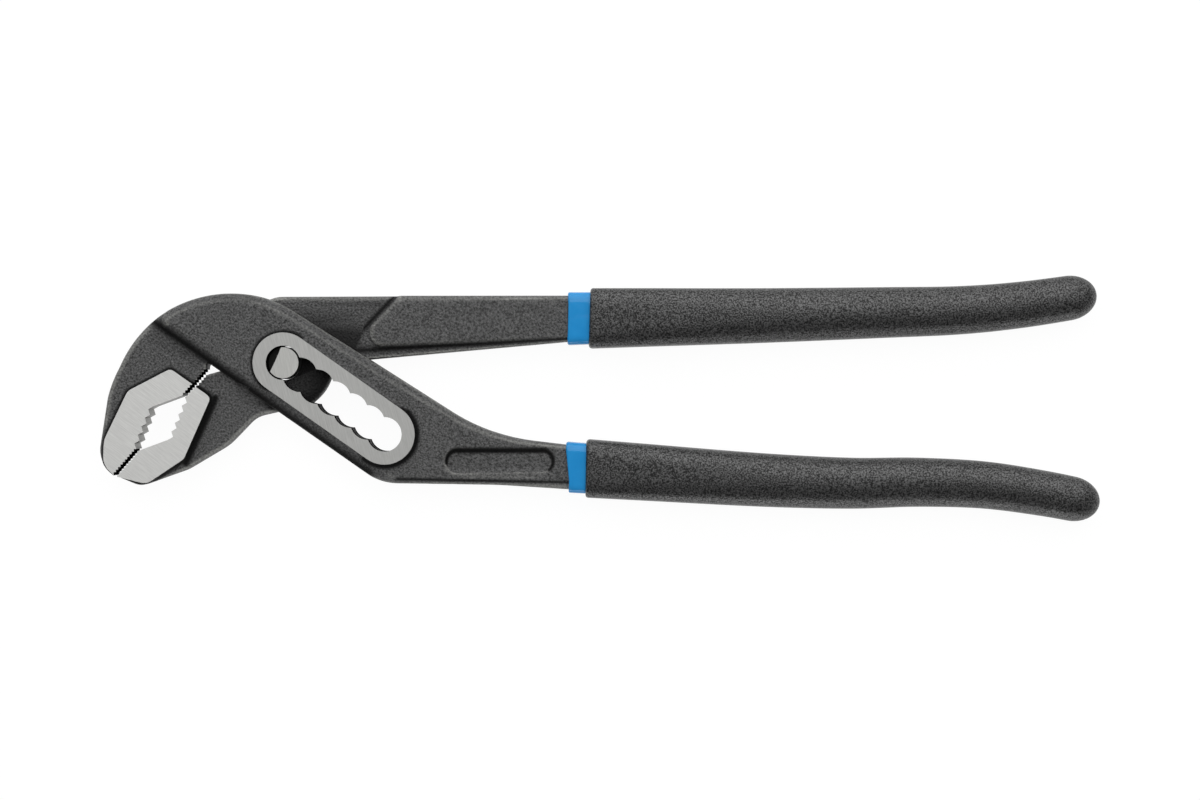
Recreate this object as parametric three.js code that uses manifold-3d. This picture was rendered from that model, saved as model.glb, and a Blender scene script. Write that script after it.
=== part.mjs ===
// Adjustable box-joint pliers, 300 mm class, lying flat with the jaws almost closed.
// Millimetres. The pin axis is Z, the handles run along +X, and Z = 0 is the surface they lie on.
import * as THREE from 'three';
import { mergeVertices } from 'three/addons/utils/BufferGeometryUtils.js';
import Module from 'manifold-3d';

const wasm = await Module();
wasm.setup();

// Joint pin and the scalloped slot that it stands in
const PIN_DIAMETER = 9.6;
const PIN_FLAT = 2.5; // pin axis to the flat on each of its ends
const PIN_FLAT_DIRECTION = 155.8; // degrees, the way the flat faces with the jaws closed
const PIN_CLEARANCE = 0.3; // radial, in the bore of the web
const SLOT_CLEARANCE = 0.35; // radial, in a scallop of the slot
const SLOT_POSITIONS = 7;
const SLOT_PITCH = 6.18;
const SLOT_ANGLE = -35.2; // degrees from +X

// Box of the outer lever: two cheeks with a window between them
const LAND_THICKNESS = 13; // over the ground lands on both sides
const LAND_RIM = 3.9; // land around the slot
const LAND_EDGE = 0.25;
const BOX_THICKNESS = 11.4; // over the cheeks at the pin
const BOX_LOWER_RIM = 4.15; // land to the straight lower edge
const BOX_UPPER_RIM = 5.55; // land to the straight upper edge, abreast of the pin
const BOX_FLARE = 3.5; // degrees between the upper edge and the slot
const BOX_BEVEL = 2.2;
const BOX_BEVEL_HEIGHT = 2;
const WEB_CLEARANCE = 0.3; // on each side of the web in the window
const WINDOW_CLEARANCE = 0.3; // between the front wall of the window and the web that turns in it
const WINDOW_FRONT_DIRECTION = 169; // degrees, the way that wall stands from the pin
const WINDOW_REAR = 26.2; // last slot position to the rear wall

// Hook jaw of the outer lever
const ARCH_RADIUS = 37.4;
const ARCH_SHIFT = -4.6; // along the upper edge, from abreast of the pin to the arch
const HOOK_OVERLAP = 12; // degrees of arch over which the hook runs on into the box
const HOOK_THICKNESS = 8.8;
const HOOK_BEVEL = 1.1;
const HOOK_BACK_ANGLE = 170.4; // degrees, where the arch runs into the hook's straight back
const HOOK_ROOT = -20; // along the slot line, where the throat's wall ends inside the box
const JAW_FACE_THICKNESS = 10.4; // over the ground faces of both jaws
const JAW_FACE_EDGE = 0.3;
const JAW_FACE_TOP = 7.8; // lower edge of the box to the top edges of the jaw faces
const UPPER_FACE_TOP = [-18, -26.6, 1.5]; // ends of that edge along the slot line, and its corner's radius
const LOWER_FACE_TOP = [-19, -11.8, 1.6];

// Jaw mouth, along the line on which the jaws close
const CLOSING_ANGLE = 48.9; // degrees
const CLOSING_OFFSET = 15.85; // pin axis to the closing line
const TIP_REACH = 58.6; // foot of that offset to the jaw tips
const JAW_GAP = 0.85;
const TIP_TEETH_LENGTH = 10.2;
const TIP_TEETH = 10;
const MOUTH_LENGTH = 21.3;
const MOUTH_DEPTH = 4.5;
const MOUTH_WALL = 13; // toothed wall, measured along the closing line
const MOUTH_TEETH = 5;
const THROAT_TEETH_LENGTH = 10.4;
const THROAT_TEETH = 10;
const LOWER_THROAT = 40.4; // from the tips, where the lower jaw falls away from the hook
const FINE_TOOTH_DEPTH = 0.5;
const MOUTH_TOOTH_DEPTH = 1.1;

// Inner lever: the web that passes through the box, the lower jaw and the upper handle
const WEB_THICKNESS = 5;
const WEB_RADIUS = 14.6; // around the pin
const WEB_BEVEL = 0.5;
const WEB_UNDERSIDE = -60; // degrees, where the web leaves its round about the pin
const UPPER_HANDLE_THICKNESS = 8.2;
const UPPER_HANDLE_BEVEL = 2.1;
const UPPER_HANDLE_BEVEL_HEIGHT = 1.5;

// Handle ends: tang, blue base coat and black foamed sleeve
const UPPER_TANG_WIDTH = 13.9;
const LOWER_TANG_WIDTH = 13.3;
const TANG_TIP_WIDTH = 8.8;
const TANG_THICKNESS = 7.8;
const TANG_TIP_THICKNESS = 5.8;
const DIP_FIT = 0.2;
const DIP_WALL = 0.8;
const COLLAR_LENGTH = 6.6; // base coat left bare in front of the sleeve
const GRIP_FIT = 0.2;
const GRIP_WALL = 1.05;
const GRIP_CROWN = 0.35; // added to the sleeve's wall on its two broad faces
const TIP_ROUND = 8.5;
const MOUTH_ROUND = 0.8;
const PLATE_OVERLAP = 3; // how far a handle plate runs on into its sleeve

// Recess on the lower handle
const RECESS_LENGTH = 32.5;
const RECESS_WIDTH = 7.3;
const RECESS_DEPTH = 0.7;
const RECESS_PLACE = [34.4, -8.1]; // from the last slot position

// Outlines of the jaws, [along, aside, corner radius] on the closing line, from the tips
const HOOK_CORNER = [-0.8, 6.6, 9];
const UPPER_FACE = [[21.6, 13.7, 3], [5.9, 9.4, 6], [-0.1, 4.6, 6]];
const LOWER_FACE = [[17.3, -12.3, 2], [4.3, -8.8, 4]];
const LOWER_JAW_BACK = [[2.3, -7.6, 5], [15.4, -15, 12], [29.1, -19.5, 10]];

// Outlines of the web and the upper handle, [x, y] or [x, y, corner radius] from the pin axis
const WEB_NECK = [-8.5, -16.2, 8];
const WEB_CORNER = [-6.6, 19.9, 9];
const THROAT_NOTCH = [-16.2, -1.5, 3]; // where the web leaves the throat, inside the box
const HANDLE_STEP = [[34.3, 20.2], [19.1, 4.4, 2.6]];
const HANDLE_UNDERSIDE = [14.4, 0, 4];
const UPPER_PATH = [[85, 13.3], [107, 13.7], [143.3, 14.3], [179.5, 15.2], [203, 15.9], [222, 17.6], [242, 20.5]];
// The lower handle's points are taken from the last slot position
const LOWER_PATH = [[54.6, -9.9], [76.6, -11.4], [112.9, -13.8], [139.6, -14.8], [159.6, -14.5],
  [179.6, -15.3], [197.6, -17.8], [212.6, -20.7]];
const BOX_HEEL = [-1.4, -14.7, 16];
const HANDLE_SADDLE = [31.1, -0.4, 60];

// Fineness of curved faces
const CURVE_STEPS = 5;
const ARCH_STEPS = 12;
const BEVEL_STEPS = 2;
const ROUND_STEPS = 14;
const SECTION_STEPS = 20;
const PATH_STEPS = 9;
const TIP_STEPS = 4;
const TANG_POWER = 0.35; // 1 is an ellipse, 0 a rectangle
const GRIP_POWER = 0.6;

const FORGED_BLACK = new THREE.MeshStandardMaterial({ color: 0x3c3c3c, roughness: 0.6, metalness: 0.6 });
const GROUND_STEEL = new THREE.MeshStandardMaterial({ color: 0xaeaea8, roughness: 0.35, metalness: 1 });
const BLUE_DIP = new THREE.MeshStandardMaterial({ color: 0x1f7fc8, roughness: 0.25, metalness: 0 });
const BLACK_FOAM = new THREE.MeshStandardMaterial({ color: 0x333333, roughness: 0.85, metalness: 0 });

// Directions and places worked out from the sizes above
const pinRadius = PIN_DIAMETER / 2;
const scallopRadius = pinRadius + SLOT_CLEARANCE;
const landRadius = scallopRadius + LAND_RIM;
const slotLength = (SLOT_POSITIONS - 1) * SLOT_PITCH;
const windowThickness = WEB_THICKNESS + 2 * WEB_CLEARANCE;
const dipGrow = DIP_FIT + DIP_WALL;
const wellOutside = 2 * ARCH_RADIUS;
const mouthEnd = TIP_TEETH_LENGTH + MOUTH_LENGTH;
const biteLength = mouthEnd + THROAT_TEETH_LENGTH;

function polar(degrees, radius = 1) {
  const angle = THREE.MathUtils.degToRad(degrees);
  return new THREE.Vector2(Math.cos(angle), Math.sin(angle)).multiplyScalar(radius);
}

// A point `along` a direction from the pin axis and `aside` to the left of it
function onLine(degrees, along, aside) {
  return polar(degrees, along).add(polar(degrees + 90, aside));
}

const onSlot = (along, aside) => onLine(SLOT_ANGLE, along, aside);
const onUpperEdge = (along, aside) => onLine(SLOT_ANGLE + BOX_FLARE, along, aside);
const onClosingLine = (along, aside) => onLine(CLOSING_ANGLE, along - TIP_REACH, CLOSING_OFFSET + aside);
const onJaw = ([along, aside, ...radius]) => [...onClosingLine(along, aside), ...radius];
const lastPosition = onSlot(slotLength, 0);
const fromLastPosition = ([x, y, ...radius]) => [lastPosition.x + x, lastPosition.y + y, ...radius];

// Closed outline through corners [x, y, radius], each rounded by an arc tangent to both of its sides
function outline(corners) {
  const points = corners.map((corner) => new THREE.Vector2(corner.x ?? corner[0], corner.y ?? corner[1]));
  const shape = new THREE.Shape();
  points.forEach((point, i) => {
    const before = points.at(i - 1).clone().sub(point).normalize();
    const after = points[(i + 1) % points.length].clone().sub(point).normalize();
    const radius = corners[i][2] ?? 0;
    const halfAngle = Math.acos(before.dot(after)) / 2;
    const reach = radius / Math.tan(halfAngle);
    const start = before.clone().setLength(reach).add(point);
    if (i === 0) shape.moveTo(start.x, start.y);
    else shape.lineTo(start.x, start.y);
    if (radius > 0) {
      const centre = before.clone().add(after).setLength(Math.hypot(radius, reach)).add(point);
      const end = after.clone().setLength(reach).add(point);
      const [from, to] = [start, end].map((tangent) => tangent.sub(centre).angle());
      shape.absarc(centre.x, centre.y, radius, from, to, before.cross(after) > 0);
    }
  });
  shape.closePath();
  return shape;
}

// Flat plate about Z = 0 with its edges bevelled inwards on both faces
function plate(shape, thickness, bevel = 0, bevelHeight = bevel) {
  const depth = thickness - 2 * bevelHeight;
  const geometry = new THREE.ExtrudeGeometry(shape, {
    depth,
    curveSegments: CURVE_STEPS,
    bevelEnabled: bevel > 0,
    bevelSize: bevel,
    bevelOffset: -bevel,
    bevelThickness: bevelHeight,
    bevelSegments: BEVEL_STEPS,
  });
  return geometry.translate(0, 0, -depth / 2);
}

// Draws a plate thinner along +X, from its full thickness at `from` to `share` of it at `to`
function thinned(geometry, from, to, share) {
  const position = geometry.getAttribute('position');
  for (let i = 0; i < position.count; i += 1) {
    const way = (position.getX(i) - from) / (to - from);
    position.setZ(i, position.getZ(i) * (1 - way * (1 - share)));
  }
  return geometry;
}

function disc(radius, thickness, centre = new THREE.Vector2()) {
  const shape = new THREE.Shape().absarc(centre.x, centre.y, radius, 0, 2 * Math.PI);
  const geometry = new THREE.ExtrudeGeometry(shape, {
    depth: thickness,
    curveSegments: ROUND_STEPS,
    bevelEnabled: false,
  });
  return geometry.translate(0, 0, -thickness / 2);
}

function solid(geometry) {
  const bare = new THREE.BufferGeometry();
  bare.setAttribute('position', geometry.getAttribute('position'));
  bare.setIndex(geometry.getIndex());
  const merged = mergeVertices(bare, 1e-4);
  return new wasm.Manifold(new wasm.Mesh({
    numProp: 3,
    vertProperties: new Float32Array(merged.getAttribute('position').array),
    triVerts: new Uint32Array(merged.getIndex().array),
  }));
}

function mesh(name, body, material) {
  const { vertProperties, triVerts, numProp } = body.getMesh();
  const geometry = new THREE.BufferGeometry();
  geometry.setAttribute('position', new THREE.BufferAttribute(vertProperties, numProp));
  geometry.setIndex(new THREE.BufferAttribute(triVerts, 1));
  geometry.computeVertexNormals();
  const part = new THREE.Mesh(geometry, material);
  part.name = name;
  return part;
}

// Row of V teeth between two points, cut to `depth` on the left of the way it runs
function teeth(from, to, count, depth) {
  const step = to.clone().sub(from).divideScalar(count);
  const inward = new THREE.Vector2(-step.y, step.x).setLength(depth);
  const row = [];
  for (let i = 0; i < count; i += 1) {
    row.push(from.clone().addScaledVector(step, i));
    row.push(from.clone().addScaledVector(step, i + 0.5).add(inward));
  }
  return row;
}

// Working edge of a jaw. `side` is 1 for the hook, read from tip to throat, and -1 for the
// lower jaw, read from throat to tip, so that the steel is always on the left.
function biteLine(side) {
  const gap = side * JAW_GAP / 2;
  const tip = onClosingLine(0, gap);
  const mouthFront = onClosingLine(TIP_TEETH_LENGTH, gap);
  const mouthBack = onClosingLine(mouthEnd, gap);
  const throat = onClosingLine(biteLength, gap);
  if (side > 0) {
    const apex = onClosingLine(TIP_TEETH_LENGTH + MOUTH_WALL, gap + MOUTH_DEPTH);
    return [
      ...teeth(tip, mouthFront, TIP_TEETH, FINE_TOOTH_DEPTH),
      ...teeth(mouthFront, apex, MOUTH_TEETH, MOUTH_TOOTH_DEPTH),
      apex,
      ...teeth(mouthBack, throat, THROAT_TEETH, FINE_TOOTH_DEPTH),
      throat,
    ];
  }
  const apex = onClosingLine(mouthEnd - MOUTH_WALL, gap - MOUTH_DEPTH);
  return [
    ...teeth(throat, mouthBack, THROAT_TEETH, FINE_TOOTH_DEPTH),
    ...teeth(mouthBack, apex, MOUTH_TEETH, MOUTH_TOOTH_DEPTH),
    apex,
    ...teeth(mouthFront, tip, TIP_TEETH, FINE_TOOTH_DEPTH),
    tip,
  ];
}

// Everything on the far side of a jaw's working edge, to be cut away from the jaw
function biteCutter(side) {
  const edge = biteLine(side);
  const outward = polar(CLOSING_ANGLE - 90 * side, 2 * MOUTH_DEPTH);
  const onward = polar(CLOSING_ANGLE, MOUTH_DEPTH);
  const [first, last] = side > 0 ? [onward.clone().negate(), onward] : [onward, onward.clone().negate()];
  const corners = [
    ...edge,
    edge.at(-1).clone().add(outward).add(last),
    edge[0].clone().add(outward).add(first),
    edge[0].clone().add(first),
  ];
  return solid(plate(outline(corners), 2 * LAND_THICKNESS));
}

// Path of a handle end, with the size of its tang along the way
function handleEnd(points, mouthWidth) {
  const curve = new THREE.CatmullRomCurve3(points.map(([x, y]) => new THREE.Vector3(x, y, 0)));
  return { curve, length: curve.getLength(), mouthWidth };
}

// Closed section of a handle end: a rounded oblong `grow` outside the tang, shrunk by `scale` at the tip
function section(end, distance, { grow, crown = 0, power = TANG_POWER }, scale) {
  const way = THREE.MathUtils.clamp(distance / end.length, 0, 1);
  const centre = end.curve.getPointAt(way);
  const tangent = end.curve.getTangentAt(way);
  centre.addScaledVector(tangent, distance - way * end.length);
  const across = new THREE.Vector3(-tangent.y, tangent.x, 0);
  const halfWidth = scale * (THREE.MathUtils.lerp(end.mouthWidth, TANG_TIP_WIDTH, way) / 2 + grow);
  const halfThickness = THREE.MathUtils.lerp(TANG_THICKNESS, TANG_TIP_THICKNESS, way) / 2;
  const halfHeight = scale * (halfThickness + grow + crown);
  const squared = (value) => Math.sign(value) * Math.abs(value) ** power;
  return Array.from({ length: SECTION_STEPS }, (_, i) => {
    const angle = 2 * Math.PI * (i + 0.5) / SECTION_STEPS;
    const point = centre.clone().addScaledVector(across, halfWidth * squared(Math.cos(angle)));
    return point.setZ(halfHeight * squared(Math.sin(angle)));
  });
}

// Sections from `start` to a rounded tip, which stands as far past the tang's end as the skin is thick
function sections(end, start, skin) {
  const straight = end.length + skin.grow - TIP_ROUND;
  const rings = [];
  for (let i = 0; i <= PATH_STEPS; i += 1) {
    rings.push(section(end, THREE.MathUtils.lerp(start, straight, i / PATH_STEPS), skin, 1));
  }
  for (let i = 1; i <= TIP_STEPS; i += 1) {
    const { x, y } = polar(90 * i / (TIP_STEPS + 1));
    rings.push(section(end, straight + TIP_ROUND * y, skin, x));
  }
  return rings;
}

// Closed skin over a run of sections, capped at both ends
function loft(rings) {
  const count = rings[0].length;
  const index = [];
  const last = (rings.length - 1) * count;
  for (let j = 0; j < count; j += 1) {
    const next = (j + 1) % count;
    for (let base = 0; base < last; base += count) {
      index.push(base + j, base + next, base + count + j);
      index.push(base + next, base + count + next, base + count + j);
    }
    if (j > 0 && next > 0) {
      index.push(0, next, j);
      index.push(last, last + j, last + next);
    }
  }
  const geometry = new THREE.BufferGeometry();
  const points = rings.flat();
  geometry.setAttribute('position', new THREE.Float32BufferAttribute(points.flatMap((p) => p.toArray()), 3));
  geometry.setIndex(index);
  return solid(geometry);
}

// Sleeve closed at the tip: from the end of its bore out to the mouth, over its lip and along its outside
function sleeve(end, mouth, bore, outside) {
  const lip = { ...outside, grow: outside.grow - MOUTH_ROUND / 2 };
  return loft([
    ...sections(end, mouth, bore).reverse(),
    section(end, mouth, lip, 1),
    ...sections(end, mouth + MOUTH_ROUND, outside),
  ]);
}

const upperEnd = handleEnd(UPPER_PATH, UPPER_TANG_WIDTH);
const lowerEnd = handleEnd(LOWER_PATH.map(fromLastPosition), LOWER_TANG_WIDTH);

// Corners of a handle plate, from its upper edge at the mouth of the sleeve, round its end, to the lower edge
function plateEnd(end) {
  const tangent = end.curve.getTangentAt(0);
  const across = new THREE.Vector3(-tangent.y, tangent.x, 0).multiplyScalar(end.mouthWidth / 2);
  const places = [[0, 1], [PLATE_OVERLAP, 1], [PLATE_OVERLAP, -1], [0, -1]];
  return places.map(([along, side]) => {
    const corner = end.curve.getPointAt(0).addScaledVector(tangent, along).addScaledVector(across, side);
    return [corner.x, corner.y];
  });
}

// Arch over the hook and the box, tangent to the box's straight upper edge
const upperEdge = landRadius + BOX_UPPER_RIM;
const lowerEdge = -landRadius - BOX_LOWER_RIM;
const archCentre = onUpperEdge(ARCH_SHIFT, upperEdge - ARCH_RADIUS);

// The point of the arch that lies a given distance off the slot line
function archAt(aside) {
  const across = polar(SLOT_ANGLE + 90);
  const turn = THREE.MathUtils.radToDeg(Math.acos((aside - archCentre.dot(across)) / ARCH_RADIUS));
  return SLOT_ANGLE + 90 + turn;
}

function archCorners(fromAngle, toAngle) {
  return Array.from({ length: ARCH_STEPS + 1 }, (_, i) => {
    const angle = THREE.MathUtils.lerp(fromAngle, toAngle, i / ARCH_STEPS);
    return polar(angle, ARCH_RADIUS).add(archCentre);
  });
}

// The cheeks run thinner from the pin to the mouth of the lower sleeve
function boxThinned(geometry) {
  return thinned(geometry, 0, lowerEnd.curve.getPointAt(0).x, TANG_THICKNESS / BOX_THICKNESS);
}

function boxBlank() {
  const shape = outline([
    ...archCorners(SLOT_ANGLE + BOX_FLARE + 90, archAt(lowerEdge)),
    fromLastPosition(BOX_HEEL),
    ...plateEnd(lowerEnd).toReversed(),
    fromLastPosition(HANDLE_SADDLE),
  ]);
  return solid(boxThinned(plate(shape, BOX_THICKNESS, BOX_BEVEL, BOX_BEVEL_HEIGHT)));
}

// Top edge of a jaw face, from its end past the closing line to its outer corner
function faceTop([inner, outer, radius]) {
  return [onSlot(inner, lowerEdge - JAW_FACE_TOP), [...onSlot(outer, lowerEdge - JAW_FACE_TOP), radius]];
}

function hook() {
  const rootAngle = archAt(lowerEdge);
  const blank = outline([
    onClosingLine(biteLength, JAW_GAP / 2),
    onClosingLine(biteLength - FINE_TOOTH_DEPTH, -MOUTH_DEPTH),
    onClosingLine(0, -MOUTH_DEPTH),
    onJaw(HOOK_CORNER),
    ...archCorners(HOOK_BACK_ANGLE, rootAngle),
    polar(rootAngle - HOOK_OVERLAP, ARCH_RADIUS - 2 * BOX_BEVEL).add(archCentre),
    onSlot(HOOK_ROOT, lowerEdge + BOX_BEVEL + JAW_GAP / 2),
  ]);
  const face = outline([
    ...faceTop(UPPER_FACE_TOP),
    ...UPPER_FACE.map(onJaw),
    onClosingLine(0, 0),
    onClosingLine(0, -MOUTH_DEPTH),
    onClosingLine(mouthEnd, -MOUTH_DEPTH),
  ]);
  return solid(plate(blank, HOOK_THICKNESS, HOOK_BEVEL))
    .add(solid(plate(face, JAW_FACE_THICKNESS, JAW_FACE_EDGE)))
    .subtract(biteCutter(1));
}

function land() {
  const shape = new THREE.Shape();
  const start = THREE.MathUtils.degToRad(SLOT_ANGLE + 90);
  shape.absarc(0, 0, landRadius, start, start + Math.PI);
  shape.absarc(lastPosition.x, lastPosition.y, landRadius, start + Math.PI, start + 2 * Math.PI);
  return solid(plate(shape, LAND_THICKNESS, LAND_EDGE));
}

// The window's front wall clears the round that the web's corner sweeps, and stands behind the hook's throat
function boxWindow() {
  const throat = onClosingLine(biteLength, -JAW_GAP / 2);
  const swept = Math.max(Math.hypot(...WEB_CORNER.slice(0, 2)), throat.dot(polar(WINDOW_FRONT_DIRECTION)));
  const front = (aside) => onLine(WINDOW_FRONT_DIRECTION, swept + WINDOW_CLEARANCE, aside);
  const rear = slotLength + WINDOW_REAR;
  const shape = outline([
    front(-wellOutside),
    front(wellOutside),
    onSlot(slotLength, -wellOutside),
    onSlot(rear, -wellOutside),
    onSlot(rear, wellOutside),
  ]);
  return solid(plate(shape, windowThickness));
}

function recess() {
  const half = (RECESS_LENGTH - RECESS_WIDTH) / 2;
  const radius = RECESS_WIDTH / 2;
  const [x, y] = fromLastPosition(RECESS_PLACE);
  const shape = new THREE.Shape();
  shape.absarc(x - half, y, radius, Math.PI / 2, 1.5 * Math.PI);
  shape.absarc(x + half, y, radius, -Math.PI / 2, Math.PI / 2);
  return solid(boxThinned(plate(shape, BOX_THICKNESS).translate(0, 0, BOX_THICKNESS - RECESS_DEPTH)));
}

function outerLever() {
  let body = boxBlank().add(hook()).add(land()).subtract(boxWindow()).subtract(recess());
  for (let i = 0; i < SLOT_POSITIONS; i += 1) {
    body = body.subtract(solid(disc(scallopRadius, 2 * LAND_THICKNESS, onSlot(i * SLOT_PITCH, 0))));
  }
  return body.add(loft(sections(lowerEnd, 0, { grow: 0 })));
}

function innerLever() {
  const web = outline([
    onClosingLine(LOWER_THROAT, -JAW_GAP / 2),
    onClosingLine(LOWER_THROAT, MOUTH_DEPTH),
    onClosingLine(0, MOUTH_DEPTH),
    onClosingLine(0, -JAW_GAP / 2),
    ...LOWER_JAW_BACK.map(onJaw),
    WEB_NECK,
    polar(WEB_UNDERSIDE, WEB_RADIUS),
    HANDLE_UNDERSIDE,
    ...plateEnd(upperEnd).toReversed(),
    WEB_CORNER,
    THROAT_NOTCH,
  ].toReversed());
  const handle = outline([...HANDLE_STEP, ...plateEnd(upperEnd).toReversed()]);
  const face = outline([
    ...faceTop(LOWER_FACE_TOP),
    ...LOWER_FACE.map(onJaw),
    onClosingLine(0, -JAW_GAP / 2),
    onClosingLine(0, MOUTH_DEPTH),
    onClosingLine(mouthEnd, MOUTH_DEPTH),
  ].toReversed());
  const share = TANG_THICKNESS / UPPER_HANDLE_THICKNESS;
  const handlePlate = plate(handle, UPPER_HANDLE_THICKNESS, UPPER_HANDLE_BEVEL, UPPER_HANDLE_BEVEL_HEIGHT);
  return solid(plate(web, WEB_THICKNESS, WEB_BEVEL))
    .add(solid(disc(WEB_RADIUS, WEB_THICKNESS)))
    .add(solid(plate(face, JAW_FACE_THICKNESS, JAW_FACE_EDGE)))
    .subtract(biteCutter(-1))
    .add(solid(thinned(handlePlate, HANDLE_STEP[0][0], UPPER_PATH[0][0], share)))
    .add(loft(sections(upperEnd, 0, { grow: 0 })))
    .subtract(solid(disc(pinRadius + PIN_CLEARANCE, LAND_THICKNESS)));
}

function jointPin() {
  const endHeight = (LAND_THICKNESS - WEB_THICKNESS) / 2;
  let pin = solid(disc(pinRadius, LAND_THICKNESS));
  for (const side of [1, -1]) {
    const waste = new THREE.BoxGeometry(PIN_DIAMETER, 2 * PIN_DIAMETER, 2 * endHeight);
    waste.translate(PIN_FLAT + pinRadius, 0, side * LAND_THICKNESS / 2);
    waste.rotateZ(THREE.MathUtils.degToRad(PIN_FLAT_DIRECTION));
    pin = pin.subtract(solid(waste));
  }
  return pin;
}

function baseDip(end) {
  return sleeve(end, 0, { grow: DIP_FIT }, { grow: dipGrow });
}

function grip(end) {
  const bore = dipGrow + GRIP_FIT;
  const outside = { grow: bore + GRIP_WALL, crown: GRIP_CROWN, power: GRIP_POWER };
  return sleeve(end, COLLAR_LENGTH, { grow: bore }, outside);
}

const outer = new THREE.Group();
outer.add(
  mesh('outer_lever', outerLever(), FORGED_BLACK),
  mesh('lower_base_dip', baseDip(lowerEnd), BLUE_DIP),
  mesh('lower_grip', grip(lowerEnd), BLACK_FOAM),
);

const inner = new THREE.Group();
inner.add(
  mesh('inner_lever', innerLever(), FORGED_BLACK),
  mesh('upper_base_dip', baseDip(upperEnd), BLUE_DIP),
  mesh('upper_grip', grip(upperEnd), BLACK_FOAM),
);

const pliers = new THREE.Group();
pliers.add(outer, inner, mesh('joint_pin', jointPin(), GROUND_STEEL));
pliers.position.z = LAND_THICKNESS / 2;

export default pliers;
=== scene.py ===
import math

import bpy
import numpy as np
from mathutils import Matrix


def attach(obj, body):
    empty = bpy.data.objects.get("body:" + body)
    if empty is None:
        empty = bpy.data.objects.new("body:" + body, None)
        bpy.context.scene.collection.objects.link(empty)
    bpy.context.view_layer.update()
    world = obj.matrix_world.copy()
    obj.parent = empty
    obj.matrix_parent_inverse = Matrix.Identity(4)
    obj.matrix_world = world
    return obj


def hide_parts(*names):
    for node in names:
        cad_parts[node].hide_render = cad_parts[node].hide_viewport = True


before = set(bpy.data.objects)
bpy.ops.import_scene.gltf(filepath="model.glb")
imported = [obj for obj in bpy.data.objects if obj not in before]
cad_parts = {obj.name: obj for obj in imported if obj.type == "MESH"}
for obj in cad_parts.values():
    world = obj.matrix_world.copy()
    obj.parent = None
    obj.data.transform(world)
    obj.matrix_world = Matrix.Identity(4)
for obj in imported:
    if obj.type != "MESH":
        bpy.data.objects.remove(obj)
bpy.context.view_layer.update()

# OUTER LEVER
# One steel forging: the hook jaw, the box with its slot, and the lower handle.
# It is drop forged, phosphated black, and then ground bright on the land and the jaw face.
# Sizes are in millimetres from the pin axis and the middle of the tool's thickness, and angles in degrees.
MIDDLE = 6.5
BEYOND = 20

# The slot, its land and the box
PIN_RADIUS = 4.8
SCALLOP_RADIUS = 5.15
SLOT_ANGLE = -35.2
SLOT_PITCH = 6.18
SLOT_POSITIONS = 7
SLOT_LENGTH = SLOT_PITCH * (SLOT_POSITIONS - 1)
LAND_RADIUS = 9.05
LAND_HALF = 6.5
LAND_SUNK = 0.6
BOX_HALF = 5.7
BOX_LOWER_EDGE = -13.2
BOX_UPPER_EDGE = 14.6
BOX_FLARE = 3.5
BOX_ROUND = (2.4, 2.1)
LOWER_FACING = (0.9, 0.09)
LOWER_BEVEL_GAIN = 0.5
HANDLE_BEVEL_LOSS = (0.65, 0.25)
HANDLE_START = 30
WINDOW_HALF = 2.8
WINDOW_FRONT_ANGLE = 169
WINDOW_FRONT = 21.8
WINDOW_PAST_SLOT = 26.2
WINDOW_ACROSS = 75

# The arch and the hook; the rise of the arch over its circle is given at some angles
ARCH_RADIUS = 37.4
ARCH_SHIFT = -4.6
ARCH_RISE = ((58, 75, 125, 155, 170), (0.0, 0.45, 0.35, -0.4, 0.25))
ARCH_ROOT_ROUND = 4
HOOK_HALF = 4.4
HOOK_ROUND = (1.2, 1.1)
HOOK_BACK_ANGLE = 170.4
JAW_FACE_HALF = 5.2
JAW_FACE_TOP = BOX_LOWER_EDGE - 7.8
FACE_SKIRT = 0.7

# The line on which the jaws close, and the rows of teeth: a count and a depth
CLOSING_ANGLE = 48.9
CLOSING_OFFSET = 15.85
TIP_REACH = 58.6
JAW_GAP = 0.85
MOUTH = (10.2, 31.5)
BITE_LENGTH = 41.9
MOUTH_DEPTH = 4.5
MOUTH_WALL = 13.0
FINE_TEETH = (10, 0.5)
MOUTH_TEETH = (5, 1.1)
HALF_TOOTH = 0.5

# The recess in the handle, the tang and the powers of its section at both ends
RECESS_FROM_SLOT = (34.4, -8.1)
RECESS_REACH = 12.6
RECESS_RADIUS = 3.65
RECESS_DEPTH = 0.9
RECESS_DRAFT = 0.9
PLATE_LAP = 3.0
TANG_HALF = 3.9
TANG_END_HALF = 2.9
TANG_END_WIDTH = 8.8
TANG_LENGTH = 148
TANG_TIP = 8
TANG_POWERS = (0.35, 0.65)
SECTION_SPAN = (8, 68)
LOWER_TANG_WIDTH = 13.3

# Stock that the grinding takes off, its reach past a face, and how finely the forging is softened
GRIND_STOCK = 1.2
GRIND_PAST_FACE = 1
FORGED_GRID = 0.3
FORGED_SMOOTHING = 12
FORGED_KEPT = 0.4


def polar(degrees, radius=1.0):
    """Point at that angle and distance from the pin axis."""
    angle = np.radians(degrees)
    return np.stack([np.cos(angle), np.sin(angle)], -1) * np.asarray(radius)[..., None]


def on_line(degrees, along, aside):
    """Point that far along a direction from the pin axis, and that far to the left of it."""
    return polar(degrees, along) + polar(degrees + 90, aside)


def on_slot(along, aside):
    """Point along the slot from the pin, and aside of its middle line."""
    return on_line(SLOT_ANGLE, along, aside)


def on_bite(along, aside):
    """Point along the line on which the jaws close, from the tips, and aside of it towards the hook."""
    return on_line(CLOSING_ANGLE, along - TIP_REACH, CLOSING_OFFSET + aside)


def corner(point, radius=0.0):
    """A corner of an outline: its place and the radius of its round."""
    return (float(point[0]), float(point[1]), radius)


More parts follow.
